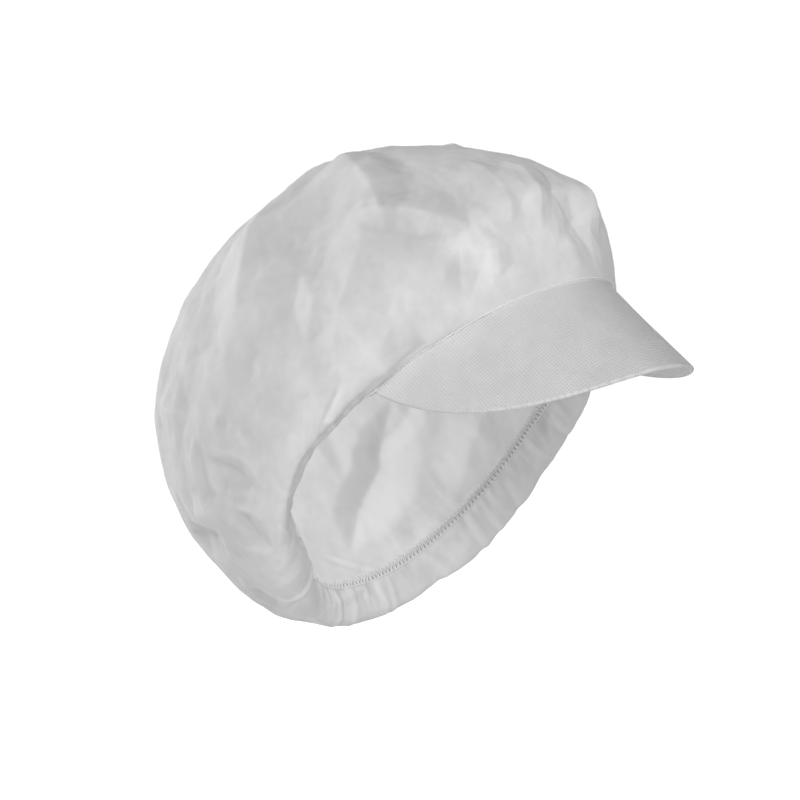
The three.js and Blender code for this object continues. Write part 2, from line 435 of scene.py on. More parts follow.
def facets(points, size, seed):
    """Noise from -1 to 1 made of flat triangles about size across, which meet in sharp creases."""
    q = points @ FACET_TURN / size
    warp = [noise(q, FACET_WARP_SIZE, seed + k) for k in (1, 2, 3)]
    q = q + FACET_WARP * np.stack(warp, axis=-1)
    cell = np.floor(q).astype(np.int64)
    f = q - cell
    order = np.argsort(-f, axis=-1)
    value = lattice(cell, seed)
    total = value
    for k in range(3):
        axis = order[..., k:k + 1]
        cell = cell + (np.arange(3) == axis)
        corner = lattice(cell, seed)
        total = total + (corner - value) * np.take_along_axis(f, axis, axis=-1)[..., 0]
        value = corner
    return total


# A fold's cross-section, and how it dies out along its path. A crest is its ridge's radius.
FLANK_WIDTH = 1.7
FOOT_SOFTNESS = 0.12
FOLD_DEPTH = 30
FOLD_LIMIT = 4
THIN_END = 0.1
END_TAPER = 3.2
RIM_TAPER_START = 0.08
RIM_TAPER_POWER = 1.1
LARGE_CREST = 0.5
RANDOM_CREST = 0.6
PLEAT_CREST = 0.4
BAG_MIDDLE = np.array([0, 0, 30])


def fold_taper(share, fade):
    """How full a fold is at a share of its length."""
    if fade == "rim":
        return smooth_step(0, RIM_TAPER_START, share) * (1 - share) ** RIM_TAPER_POWER
    return np.clip(END_TAPER * np.minimum(share, 1 - share), 0, 1)


def fold(points, path, height, left, right, crest, fade):
    """Height of one crease that follows a path, with its own reach on either side.

    fade="ends" lets it die out at both ends; fade="rim" starts it full, as a gather does.
    """
    result = np.zeros(points.shape[:-1])
    lengths = [np.linalg.norm(b - a) for a, b in zip(path[:-1], path[1:])]
    whole = sum(lengths)
    limit = whole / 2 + FOLD_LIMIT * max(left, right)
    near = np.linalg.norm(points - path.mean(axis=0), axis=-1) < limit
    if not near.any():
        return result
    found = np.zeros(np.count_nonzero(near))
    gone = 0.0
    for a, b, length in zip(path[:-1], path[1:], lengths):
        along = (b - a) / length
        out = unit((a + b) / 2 - BAG_MIDDLE)
        across = unit(np.cross(along, out))
        rel = points[near] - a
        inside = np.clip(rel @ along, 0, length)
        beyond = rel @ along - inside
        side = rel @ across
        taper = fold_taper((gone + inside) / whole, fade)
        bias = side / np.sqrt(side**2 + beyond**2 + 1)
        reach = FLANK_WIDTH * (left + right + (right - left) * bias) / 2
        reach = reach * (THIN_END + (1 - THIN_END) * taper)
        distance = np.sqrt(side**2 + beyond**2 + crest**2) - crest
        flank = np.clip(1 - distance / reach, 0, 1)
        flank = flank * flank * (1 + FOOT_SOFTNESS) / (flank + FOOT_SOFTNESS)
        same_side = np.exp(-((rel @ out / FOLD_DEPTH) ** 2))
        found = np.maximum(found, taper * flank * same_side)
        gone += length
    result[near] = found * height
    return result


# The large creases, each as places (phi in degrees, t), height and reach to either side in mm.
# Heights above zero are ridges, and below zero valleys.
LARGE_CREASES = [
    ([(-20, 0.78), (-29, 0.71), (-37, 0.62), (-42, 0.54), (-45, 0.48), (-49, 0.44)], 6.0, 8, 22),
    ([(-49, 0.52), (-45, 0.48), (-40, 0.43), (-37, 0.37), (-33, 0.30)], 4.6, 9, 6),
    ([(-71, 0.80), (-76, 0.73), (-78, 0.67), (-82, 0.60), (-86, 0.54), (-91, 0.47)], 7.2, 26, 15),
    ([(-44, 0.55), (-49, 0.50), (-56, 0.44), (-62, 0.39), (-70, 0.31), (-75, 0.27)], 3.4, 15, 11),
    ([(-69, 0.50), (-69, 0.42), (-75, 0.36)], 2.6, 8, 6),
    ([(-38, 0.22), (-34, 0.21), (-28, 0.195)], 1.7, 5, 6),
    ([(-28, 0.20), (-31, 0.10)], 1.8, 4, 7),
    ([(-44, 0.21), (-38, 0.16), (-33, 0.10)], -1.6, 6, 6),
    ([(-4, 0.46), (-9, 0.32), (-12, 0.15)], 2.6, 6, 7),
    ([(2, 0.40), (-2, 0.26), (3, 0.18), (11, 0.08)], -3.6, 8, 9),
    ([(14, 0.36), (16, 0.26), (20, 0.14)], 2.4, 8, 8),
    ([(-14, 0.50), (-17, 0.40), (-22, 0.20)], 2.2, 6, 8),
    ([(-27, 0.66), (-35, 0.54), (-41, 0.50)], 1.8, 5, 6),
    ([(-59, 0.24), (-52, 0.19)], 0.7, 3, 3),
    ([(-66, 0.16), (-58, 0.10), (-50, 0.07)], -2.2, 6, 8),
    ([(-109, 0.34), (-106, 0.27), (-106, 0.22), (-105, 0.17)], -4.0, 5, 8),
    ([(-113, 0.25), (-115, 0.20), (-118, 0.14)], -3.4, 5, 6),
    ([(-111, 0.40), (-114, 0.35), (-119, 0.29)], 2.8, 3.5, 3.5),
    ([(-128, 0.31), (-120, 0.285), (-113, 0.275)], 4.0, 6, 14),
    ([(-125, 0.54), (-119, 0.49), (-111, 0.45)], 3.2, 9, 12),
    ([(-142, 0.32), (-131, 0.275), (-121, 0.25)], -4.2, 5, 7),
    ([(-104, 0.375), (-99, 0.36)], -0.7, 3, 3),
    ([(-103, 0.40), (-99, 0.385)], 0.6, 2.5, 2.5),
    ([(-138, 0.20), (-142, 0.12)], -2.6, 5, 5),
    ([(-134, 0.21), (-140, 0.19)], 1.2, 3, 3),
    ([(131, 0.46), (139, 0.395), (144, 0.345), (154, 0.305), (162, 0.26)], -6.0, 8, 11),
    ([(112, 0.35), (122, 0.31), (133, 0.25)], 2.6, 10, 10),
    ([(100, 0.60), (90, 0.50), (86, 0.38)], 3.4, 14, 9),
    ([(60, 0.55), (52, 0.42), (55, 0.30)], 3.2, 10, 16),
    ([(75, 0.30), (64, 0.22), (50, 0.18)], -2.8, 8, 8),
    ([(40, 0.70), (35, 0.55), (24, 0.45)], 2.6, 12, 9),
    ([(150, 0.70), (140, 0.60), (120, 0.55)], 3.8, 12, 16),
    ([(175, 0.62), (170, 0.50), (160, 0.42)], 3.4, 9, 14),
    ([(-150, 0.55), (-158, 0.44), (-172, 0.38)], 2.8, 14, 10),
    ([(-135, 0.75), (-120, 0.68), (-105, 0.70)], 0.8, 12, 10),
]


# The random creases. A pair is the least and the most. The bag's radius at t is taken as
# WIDEST_RING * cos(t * RING_TURN), and no less than LEAST_RING.
RANDOM_CREASES = 120
CREASE_T = (0.02, 0.97)
CREASE_FROM_TOP = (0.02, 0.95)
CREASE_FROM_TOP_POWER = 0.8
CREASE_LENGTH = (9, 20)
CREASE_STRETCH = (0.7, 2.4)
CREASE_BEND = (-0.35, 0.35)
CREASE_HEIGHT = (0.3, 1.2)
CREASE_FULL_LENGTH = 26
CREASE_REACH = (2.5, 9)
CREASE_SPAN = 210
TOP_CALM = 0.7
TOP_CALM_FROM = (0.55, 0.8)
LEAST_RING = 20
WIDEST_RING = 90
RING_TURN = math.pi / 2.2

# The pleats that run up from the rim, lower round PLEAT_CALM_PLACE.
PLEATS = 110
PLEAT_SHIFT = (-0.42, 0.42)
PLEAT_LEAST_FULLNESS = 0.12
PLEAT_LEAST_LENGTH = 9
PLEAT_MEAN_EXTRA = 17
PLEAT_SLANT = 0.12
PLEAT_WANDER = 0.004
PLEAT_SHARES = (0.0, 0.35, 0.7, 1.0)
PLEAT_HEIGHT = (0.5, 1.5)
PLEAT_REACH = (1.4, 3.6)
PLEAT_CALM = 0.45
PLEAT_CALM_PLACE = (100, 45)


def table_of_distances():
    """Values of t, and the distance up the cloth from its edge for a grid of phi and t."""
    phi = np.linspace(-math.pi, math.pi, TABLE_COLUMNS)
    t = np.linspace(0, 1, TABLE_ROWS)
    return t, cloth_distance(crown_base(phi[:, None], t[None, :]))


TABLE_T, TABLE_DISTANCE = table_of_distances()


def share_at(phi, distance):
    """The t that lies a distance up the cloth from its edge."""
    turn = wrapped(np.asarray(phi, float))
    row = np.rint((turn + math.pi) / (2 * math.pi) * (TABLE_COLUMNS - 1)).astype(int)
    rows, distances = np.broadcast_arrays(row, distance)
    pairs = zip(rows.ravel(), distances.ravel())
    result = [np.interp(d, TABLE_DISTANCE[r], TABLE_T) for r, d in pairs]
    return np.array(result).reshape(rows.shape)


def large_crease(places, height, left, right):
    phi = np.array([p[0] for p in places]) * DEG
    t = np.array([p[1] for p in places])
    return crown_base(phi, t), height, left, right, LARGE_CREST, "ends"


def random_crease():
    """A short bent crease anywhere on the bag, slighter near its top."""
    phi = rng.uniform(-math.pi, math.pi)
    t = 1 - rng.uniform(*CREASE_FROM_TOP) ** CREASE_FROM_TOP_POWER
    angle = rng.uniform(0, math.pi)
    length = rng.uniform(*CREASE_LENGTH) * rng.uniform(*CREASE_STRETCH)
    bend = rng.uniform(*CREASE_BEND)
    s = np.array([-0.5, 0, 0.5]) * length
    around = s * math.cos(angle) + bend * np.abs(s) * math.sin(angle)
    upward = s * math.sin(angle) - bend * np.abs(s) * math.cos(angle)
    ring = max(LEAST_RING, WIDEST_RING * math.cos(t * RING_TURN))
    path = crown_base(phi + around / ring, np.clip(t + upward / CREASE_SPAN, *CREASE_T))
    height = rng.uniform(*CREASE_HEIGHT) * rng.choice([-1, 1]) * length / CREASE_FULL_LENGTH
    height = height * (1 - TOP_CALM * smooth_step(*TOP_CALM_FROM, t))
    left, right = rng.uniform(*CREASE_REACH), rng.uniform(*CREASE_REACH)
    return path, height, left, right, RANDOM_CREST, "ends"


def pleat(number):
    """One of the gathers that run up from the rim, slight in front where the peak is sewn on."""
    phi = wrapped((number + rng.uniform(*PLEAT_SHIFT)) / PLEATS * 2 * math.pi)
    loose = smooth_step(*PLEATS_FROM, abs(phi))
    fullness = PLEAT_LEAST_FULLNESS + (1 - PLEAT_LEAST_FULLNESS) * loose
    length = (PLEAT_LEAST_LENGTH + rng.exponential(PLEAT_MEAN_EXTRA)) * (1 + fullness) / 2
    slant = rng.normal(0, PLEAT_SLANT)
    distances = np.array(PLEAT_SHARES) * length
    phis = phi + slant * distances / PLEAT_RADIUS + rng.normal(0, PLEAT_WANDER, len(PLEAT_SHARES))
    path = crown_base(phis, share_at(phis, distances))
    height = rng.uniform(*PLEAT_HEIGHT) * fullness * rng.choice([-1, 1, 1])
    height = height * (1 - PLEAT_CALM * hump(phi, *PLEAT_CALM_PLACE))
    left, right = rng.uniform(*PLEAT_REACH), rng.uniform(*PLEAT_REACH)
    return path, height, left, right, PLEAT_CREST, "rim"


def plan_creases():
    """Every crease as its path, height, reach to either side, crest and fade."""
    plan = [large_crease(*crease) for crease in LARGE_CREASES]
    plan += [random_crease() for _ in range(RANDOM_CREASES)]
    plan += [pleat(number) for number in range(PLEATS)]
    return plan


def layered_facets(points, layers):
    return sum(facets(points, size, seed) * height for size, height, seed in layers)


def broad_relief(points, distance, plan):
    """How far the folds and the large facets stand off the smooth bag, in mm."""
    total = layered_facets(points, LARGE_FACETS) * smooth_step(*LARGE_FACETS_START, distance)
    for crease in plan:
        total += fold(points, *crease)
    return total


def fine_relief(points, distance):
    """How far the crumpling and the rim's gathers stand off the cloth, in mm."""
    crumple = layered_facets(points, SMALL_FACETS) * smooth_step(*SMALL_FACETS_START, distance)
    phi = np.arctan2(points[..., 0], -points[..., 1])
    round_edge = np.stack([phi * RIM_RADIUS, distance * GATHER_STRETCH, 0 * distance], axis=-1)
    full = smooth_step(*GATHERS_FROM, np.abs(phi)) * np.exp(-distance / GATHER_REACH)
    return crumple + noise(round_edge, GATHER_PITCH / 2, 7) * GATHER_HEIGHT * full


def relief(points, distance, plan):
    """How far the creased cloth stands off the smooth bag, in mm."""
    total = broad_relief(points, distance, plan) + fine_relief(points, distance)
    return total * hold_edge(distance)


def hold_edge(distance):
    """The share of the relief that the sewn edge leaves room for."""
    return EDGE_RELIEF + (1 - EDGE_RELIEF) * smooth_step(*FREE_RELIEF_STARTS, distance)


# ---------------------------------------------------------------- mesh helpers

def add_object(name, points, faces, material):
    """A smooth mesh of points in the opening's frame."""
    mesh = bpy.data.meshes.new(name)
    mesh.from_pydata(to_world(points).reshape(-1, 3).tolist(), [], faces)
    mesh.polygons.foreach_set("use_smooth", [True] * len(mesh.polygons))
    mesh.materials.append(material)
    mesh.update()
    made = bpy.data.objects.new(name, mesh)
    bpy.context.scene.collection.objects.link(made)
    return made


def grid_faces(columns, rows, closed):
    """Quads of a grid whose points run column by column."""
    count = columns if closed else columns - 1
    i = np.arange(count)[:, None]
    j = np.arange(rows - 1)[None, :]
    m = (i + 1) % columns
    quads = np.stack([i * rows + j, m * rows + j, m * rows + j + 1, i * rows + j + 1], axis=-1)
    return quads.reshape(-1, 4).tolist()


def tube_faces(count, sides, closed):
    """Quads of a tube whose points run ring by ring, with a cap at each end unless it closes."""
    i = np.arange(count if closed else count - 1)[:, None]
    k = np.arange(sides)[None, :]
    m, q = (i + 1) % count, (k + 1) % sides
    quads = np.stack([i * sides + k, i * sides + q, m * sides + q, m * sides + k], axis=-1)
    faces = quads.reshape(-1, 4).tolist()
    if not closed:
        faces.append(list(range(sides))[::-1])
        faces.append([(count - 1) * sides + s for s in range(sides)])
    return faces


def set_values(made, name, values):
    """Stores one number per point, for a material to read."""
    layer = made.data.attributes.new(name, "FLOAT", "POINT")
    layer.data.foreach_set("value", np.ascontiguousarray(values, dtype=np.float32).ravel())


def set_flat(made, coordinates):
    """Stores flat-cloth coordinates, in mm, as a vector per point, for a material to read."""
    layer = made.data.attributes.new("flat_mm", "FLOAT_VECTOR", "POINT")
    layer.data.foreach_set("vector", np.ascontiguousarray(coordinates, dtype=np.float32).ravel())


def add_strand(name, node, path, normals, radius, sides, closed, material):
    """A round strand that is sewn to the crown along a path."""
    if closed:
        tangent = np.roll(path, -1, axis=0) - np.roll(path, 1, axis=0)
    else:
        tangent = np.gradient(path, axis=0)
    tangent = unit(tangent)
    first = unit(normals - (normals * tangent).sum(-1, keepdims=True) * tangent)
    second = np.cross(tangent, first)
    angle = np.arange(sides) / sides * 2 * math.pi
    ring = first[:, None] * np.cos(angle)[:, None] + second[:, None] * np.sin(angle)[:, None]
    points = path[:, None] + ring * radius
    made = add_object(name, points, tube_faces(len(path), sides, closed), material)
    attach(made, "cap_body")
    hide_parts(node)


def add_thread(name, node, path, normals, closed, material):
    add_strand(name, node, path, normals, THREAD_RADIUS, THREAD_SIDES, closed, material)


# ---------------------------------------------------------------- materials

class Nodes:
    """Short ways to add and join shader nodes."""

    def __init__(self, name):
        self.material = bpy.data.materials.new(name)
        self.material.use_nodes = True
        self.tree = self.material.node_tree
        self.tree.nodes.clear()

    def add(self, kind, inputs=None, **settings):
        node = self.tree.nodes.new("ShaderNode" + kind)
        for key, value in settings.items():
            setattr(node, key, value)
        for key, value in (inputs or {}).items():
            if isinstance(value, bpy.types.NodeSocket):
                self.tree.links.new(value, node.inputs[key])
            else:
                node.inputs[key].default_value = value
        return node

    def math(self, operation, a, b=0.0):
        return self.add("Math", {0: a, 1: b}, operation=operation).outputs[0]

    def attribute(self, name):
        return self.add("Attribute", attribute_name=name)

    def noise(self, vector, scale, detail, roughness):
        inputs = {"Vector": vector, "Scale": scale, "Detail": detail, "Roughness": roughness}
        return self.add("TexNoise", inputs).outputs["Fac"]

    def scaled(self, vector, x, y, z):
        return self.add("Mapping", {"Vector": vector, "Scale": (x, y, z)}).outputs["Vector"]

    def remap(self, value, low, high, to_low, to_high):
        inputs = {
            "Value": value, "From Min": low, "From Max": high, "To Min": to_low, "To Max": to_high,
        }
        return self.add("MapRange", inputs).outputs["Result"]

    def blend(self, share, a, b):
        return self.add("Mix", {0: share, 6: a, 7: b}, data_type="RGBA").outputs[2]

    def bump(self, height, distance, strength, normal=None):
        inputs = {"Height": height, "Distance": distance, "Strength": strength}
        if normal is not None:
            inputs["Normal"] = normal
        return self.add("Bump", inputs).outputs["Normal"]

    def finish(self, surface):
        self.add("OutputMaterial", {"Surface": surface})
        return self.material


def grey(level, warmth=0.0):
    return (level + warmth, level, level - warmth, 1)


def floor_white():
    """Pale to the camera, and clear from below so that the cap shows from there too."""
    n = Nodes("floor_white")
    body = n.add("BsdfPrincipled", {
        "Base Color": grey(0.9),
        "Roughness": 0.9,
        "Emission Color": grey(1.0),
        "Emission Strength": n.add("LightPath").outputs["Is Camera Ray"],
    })
    below = n.add("NewGeometry").outputs["Backfacing"]
    clear = n.add("BsdfTransparent")
    return n.finish(n.add("MixShader", {0: below, 1: body.outputs[0], 2: clear.outputs[0]}).outputs[0])


# Patterns pressed into the cloth, from one bond point to the next.
CROWN_BOND_PITCH = 1.7
EMBOSS_PITCH = 1.3


def bond_waves(n, flat, pitch):
    """Two waves across and along the flat cloth, from one bond point to the next."""
    parts = n.add("SeparateXYZ", {"Vector": flat})
    wave = 2 * math.pi / pitch
    across = n.math("COSINE", n.math("MULTIPLY", parts.outputs["X"], wave))
    along = n.math("COSINE", n.math("MULTIPLY", parts.outputs["Y"], wave))
    return across, along


# What paints light and shade on the crown's cloth: a stored value, where it starts and is full, the
# tone that it brings and how much of it. crest and swell are painted highlights on ridges and painted
# shade in valleys, and lean paints each facet lighter or darker by how it faces a fixed direction.
# gathered is painted shade near the gathered rim; seam darkens the sewn band, partly for the squeezed
# cloth and partly as painted shade between the overlock loops. Only the last two let less light
# through.
CROWN_SHADES = (
    ("crest", 0.1, 1, 0.98, 0.4),
    ("crest", -0.1, -1, 0.60, 0.4),
    ("swell", 0, 1, 0.98, 0.2),
    ("swell", 0, -1, 0.58, 0.2),
    ("lean", 0, 1, 0.99, 0.95),
    ("lean", 0, -1, 0.52, 0.5),
    ("gathered", 0, 1, 0.56, 0.35),
    ("seam", 0, 1, 0.50, 0.8),
)


def crown_colour(n, density):
    # The cloud's tone is the cloth's own; the rows of CROWN_SHADES paint light and shade over it.
    colour = n.blend(n.remap(density, 0.36, 0.64, 0, 1), grey(0.74), grey(0.88))
    for name, start, full, tone, most in CROWN_SHADES:
        amount = n.remap(n.attribute(name).outputs["Fac"], start, full, 0, most)
        colour = n.blend(amount, colour, grey(tone))
    return colour


def crown_nonwoven():
    """Thin white spunbond: cloudy filament web, faint bond points, light through it, and painted light
    and shade on its colour.
    """
    n = Nodes("crown_nonwoven")
    place = n.add("TexCoord").outputs["Object"]
    flat = n.attribute("flat_mm").outputs["Vector"]
    cloud = n.noise(place, 55, 5, 0.6)
    mottle = n.noise(place, 260, 4, 0.65)
    density = n.math("ADD", n.math("MULTIPLY", cloud, 0.6), n.math("MULTIPLY", mottle, 0.4))
    fibre_a = n.noise(n.scaled(flat, 0.35, 3.2, 1), 1.0, 3, 0.6)
    fibre_b = n.noise(n.scaled(flat, 2.6, 0.4, 1), 1.0, 3, 0.6)
    web = n.math("MULTIPLY", n.math("ADD", fibre_a, fibre_b), 0.5)
    bond = n.remap(n.math("MULTIPLY", *bond_waves(n, flat, CROWN_BOND_PITCH)), 0.45, 1.0, 0.0, 1.0)
    through = n.remap(density, 0.36, 0.64, 0.44, 0.32)
    for name, least in (("seam", 0.4), ("gathered", 0.55)):
        share = n.remap(n.attribute(name).outputs["Fac"], 0, 1, 1.0, least)
        through = n.math("MULTIPLY", through, share)
    normal = n.bump(web, 0.18 * MM, 0.55)
    normal = n.bump(bond, 0.06 * MM, 0.5, normal)
    body = n.add("BsdfPrincipled", {
        "Base Color": crown_colour(n, density),
        "Roughness": n.remap(web, 0.3, 0.7, 0.62, 0.78),
        "Specular IOR Level": 0.12,
        "Normal": normal,
    })
    glow = n.add("BsdfTranslucent", {"Color": grey(0.93), "Normal": normal})
    both = n.add("MixShader", {0: through, 1: body.outputs[0], 2: glow.outputs[0]})
    return n.finish(both.outputs[0])


def peak_nonwoven():
    """Stiff white nonwoven, pressed all over with a fine square grid of bond points."""
    n = Nodes("peak_nonwoven")
    place = n.add("TexCoord").outputs["Object"]
    flat = n.attribute("flat_mm").outputs["Vector"]
    bond = n.remap(n.math("ADD", *bond_waves(n, flat, EMBOSS_PITCH)), 0.2, 1.7, 0, 1)
    cloud = n.noise(place, 90, 4, 0.6)
    fibre = n.noise(n.scaled(flat, 5.0, 0.7, 1), 1.0, 3, 0.6)
    colour = n.blend(n.remap(cloud, 0.3, 0.7, 0, 1), grey(0.68), grey(0.74))
    colour = n.blend(n.math("MULTIPLY", bond, 0.6), colour, grey(0.58))
    normal = n.bump(fibre, 0.12 * MM, 0.5)
    normal = n.bump(n.math("SUBTRACT", 1.0, bond), 0.22 * MM, 0.8, normal)
    body = n.add("BsdfPrincipled", {
        "Base Color": colour,
        "Roughness": n.remap(bond, 0, 1, 0.82, 0.6),
        "Specular IOR Level": 0.3,
        "Sheen Weight": 0.1,
        "Normal": normal,
    })
    return n.finish(body.outputs[0])


def stiff_board():
    """Matt stiff interlining between the peak's faces."""
    n = Nodes("stiffener")
    place = n.add("TexCoord").outputs["Object"]
    grain = n.noise(n.scaled(place, 900, 200, 200), 1.0, 3, 0.6)
    body = n.add("BsdfPrincipled", {
        "Base Color": n.blend(grain, grey(0.66, 0.005), grey(0.78, 0.005)),
        "Roughness": n.remap(grain, 0.3, 0.7, 0.65, 0.85),
        "Normal": n.bump(grain, 0.1 * MM, 0.5),
    })
    return n.finish(body.outputs[0])


def spun_thread(name, level):
    """Thread with its twist as a fine slanted ridge."""
    n = Nodes(name)
    place = n.add("TexCoord").outputs["Object"]
    twist = n.add("TexWave", {
        "Vector": place, "Scale": 900, "Distortion": 2, "Detail": 2,
    }, bands_direction="DIAGONAL").outputs["Fac"]
    fuzz = n.noise(place, 1500, 3, 0.6)
    shade = n.math("ADD", n.math("MULTIPLY", twist, 0.6), n.math("MULTIPLY", fuzz, 0.4))
    body = n.add("BsdfPrincipled", {
        "Base Color": n.blend(shade, grey(level - 0.10), grey(level)),
        "Roughness": n.remap(fuzz, 0.3, 0.7, 0.5, 0.75),
        "Sheen Weight": 0.2,
        "Normal": n.bump(shade, 0.06 * MM, 0.6),
    })
    return n.finish(body.outputs[0])


# ---------------------------------------------------------------- crown

# Painted light: cloth that leans towards this fixed direction is painted lighter, and cloth that leans
# away from it darker, fully so at LEAN_FULL.
PAINTED_LIGHT_DIRECTION = unit(np.array([-0.25, 0.70, 0.67]))
LEAN_FULL = 0.3
LEAN_SMOOTHING = 2

# How narrow and how broad ridges are found, for the painted highlights on ridges and painted shade in
# valleys: columns and rows to the neighbours, and a full height.
CREST = (3, 2, 0.35)
SWELL = (14, 8, 1.6)


def standing(height, columns, rows, full):
    """How far each point stands above its neighbours: 1 on a ridge, -1 in a valley."""
    padded = np.pad(height, ((0, 0), (rows, rows)), mode="edge")
    around = np.roll(height, columns, axis=0) + np.roll(height, -columns, axis=0)
    upward = padded[:, 2 * rows:] + padded[:, :-2 * rows]
    return np.clip((height - (around + upward) / 4) / full, -1, 1)


def lean(points, normal):
    """How much further the creased cloth leans towards the painted light's direction than the smooth
    bag, -1 to 1.
    """
    around = np.roll(points, -1, axis=0) - np.roll(points, 1, axis=0)
    creased = unit(np.cross(around, np.gradient(points, axis=1)))
    amount = np.clip((creased - normal) @ PAINTED_LIGHT_DIRECTION / LEAN_FULL, -1, 1)
    for _ in range(LEAN_SMOOTHING):
        beside = np.roll(amount, 1, axis=0) + np.roll(amount, -1, axis=0)
        padded = np.pad(amount, ((0, 0), (1, 1)), mode="edge")
        amount = (2 * amount + beside + padded[:, 2:] + padded[:, :-2]) / 6
    return amount


def crown_rows():
    """Rows of t, closer together near the gathered edge."""
    s = np.linspace(0, 1, CROWN_ROWS)
    return s * (1 - ROW_BUNCHING + ROW_BUNCHING * s)


def crown_faces():
    """The grid's quads, and a fan that closes them at the top point."""
    faces = grid_faces(CROWN_COLUMNS, CROWN_ROWS, True)
    ends = [i * CROWN_ROWS + CROWN_ROWS - 1 for i in range(CROWN_COLUMNS)]
    top = CROWN_COLUMNS * CROWN_ROWS
    return faces + [[a, b, top] for a, b in zip(ends, ends[1:] + ends[:1])]


def with_top(values, top):
    """A grid's values in point order, with the top point's own value last."""
    return np.append(values.ravel(), top)


def set_crown_values(made, phi, distance, height, painted_lean_shade):
    """What the cloth's material reads from each point: its flat coordinates, and the values that it
    paints light and shade by.
    """
    round_edge = np.broadcast_to(phi, distance.shape) * CLOTH_RADIUS
    flat = np.stack([round_edge, distance, 0 * distance], axis=-1)
    set_flat(made, with_top(flat, [0, 0, 0]))
    turn = np.abs(phi)
    near_rim = np.exp(-((distance / GATHERED_REACH) ** 2))
    values = {
        # crest and swell paint highlights on ridges and shade in valleys; lean paints facets lighter or
        # darker by how they face a fixed direction.
        "crest": standing(height, *CREST),
        "swell": standing(height, *SWELL),
        "lean": painted_lean_shade,
        # gathered paints shade near the gathered rim and seam darkens the sewn band, partly for the
        # squeezed cloth and partly as painted shade; both also let less light through.
        "gathered": smooth_step(*GATHERED_FROM, turn) * near_rim,
        "seam": (1 - smooth_step(*SEWN_BAND, distance)) * smooth_step(*SEWN_FROM, turn),
    }
    for name, grid in values.items():
        set_values(made, name, with_top(grid, 0))


def make_crown(plan, material):
    phi = full_turn(CROWN_COLUMNS)[:, None]
    t = crown_rows()[None, :] * CROWN_TOP
    base = crown_base(phi, t)
    normal = crown_normal(phi, t)
    distance = cloth_distance(base)
    broad = broad_relief(base, distance, plan) * hold_edge(distance)
    fine = fine_relief(base, distance) * hold_edge(distance)
    points = base + normal * (broad + fine)[..., None]
    # A smoother copy of the cloth, that the painted facet light and shade is read from.
    softened = base + normal * (broad + 0.5 * fine)[..., None]
    placed = with_top(points, points[:, -1].mean(axis=0)).reshape(-1, 3)
    made = add_object("crown_cloth", placed, crown_faces(), material)
    set_crown_values(made, phi, distance, broad + fine, lean(softened, normal))
    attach(made, "cap_body")
    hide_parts("crown")
    allowance = make_allowance(plan, material)


# ---------------------------------------------------------------- sewn edge

def cloth_frame(phi, distance, plan):
    """Point on the creased cloth a little way up from its edge, its up direction and normal."""
    phi = np.asarray(phi, float)
    near = share_at(phi, np.full(phi.shape, distance))
    far = share_at(phi, np.full(phi.shape, distance + CLOTH_STEP))
    base, ahead = crown_base(phi, near), crown_base(phi, far)
    out = crown_normal(phi, near)
    level = np.full(phi.shape, distance)
    at = base + out * relief(base, level, plan)[..., None]
    higher = relief(ahead, level + CLOTH_STEP, plan)
    step = ahead + crown_normal(phi, far) * higher[..., None] - at
    return at, unit(step), out


def edge_frames(phi, plan):
    """The overlocked edge: on the lip at the sides and nape, tucked in behind the peak in front."""
    at, up, out = cloth_frame(phi, 0.0, plan)
    _, along, peak_out = peak_line(phi)
    tucked = 1 - smooth_step(*TUCKED_UP_TO, np.abs(phi))
    outward = level_outward(at)
    side_angle = np.arctan2(up[:, 2], (up * outward).sum(-1))
    front_angle = np.arctan2(-along[:, 2], -(along * outward).sum(-1))
    angle = (side_angle + (front_angle - side_angle) * tucked)[:, None]
    turned_up = outward * np.cos(angle) + UPWARD * np.sin(angle)
    turned_out = outward * np.sin(angle) - UPWARD * np.cos(angle)
    share = tucked[:, None]
    crossing = np.sin(math.pi * share) * ALLOWANCE_CROSSING
    at = at + share * (along * ALLOWANCE_DEPTH - peak_out * ALLOWANCE_TUCK) - outward * crossing
    blend = np.minimum(share * TUCK_TURN, 1)
    return at, unit(up + (turned_up - up) * blend), unit(out + (turned_out - out) * blend)


def make_allowance(plan, material):
    """The crown's seam allowance in front, from the overlocked edge up to the peak's seam."""
    phi = np.linspace(-ALLOWANCE_HALF_SPAN, ALLOWANCE_HALF_SPAN, ALLOWANCE_COLUMNS)
    at, up, _ = edge_frames(phi, plan)
    seam, _, _ = cloth_frame(phi, 0.0, plan)
    rows = [at + up * ALLOWANCE_ROW * k for k in range(3)]
    rows += [rows[-1] + (seam - rows[-1]) * share for share in ALLOWANCE_SHARES]
    points = np.stack(rows, axis=1)
    faces = grid_faces(len(phi), len(rows), False)
    made = add_object("crown_seam_allowance", points, faces, material)
    flat = np.zeros(points.shape)
    flat[..., 0] = phi[:, None] * CLOTH_RADIUS
    flat[..., 1] = np.arange(len(rows)) * ALLOWANCE_ROW
    set_flat(made, flat)
    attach(made, "cap_body")
    return made


def make_elastic(plan, material):
    at, up, out = edge_frames(full_turn(ELASTIC_STEPS), plan)
    centre = at - up * (ELASTIC_RADIUS + ELASTIC_GAP)
    smooth = (centre + np.roll(centre, 1, 0) + np.roll(centre, -1, 0)) / 3
    add_strand(
        "rim_elastic_cord", "rim_elastic", smooth, out,
        ELASTIC_RADIUS, ELASTIC_SIDES, True, material,
    )


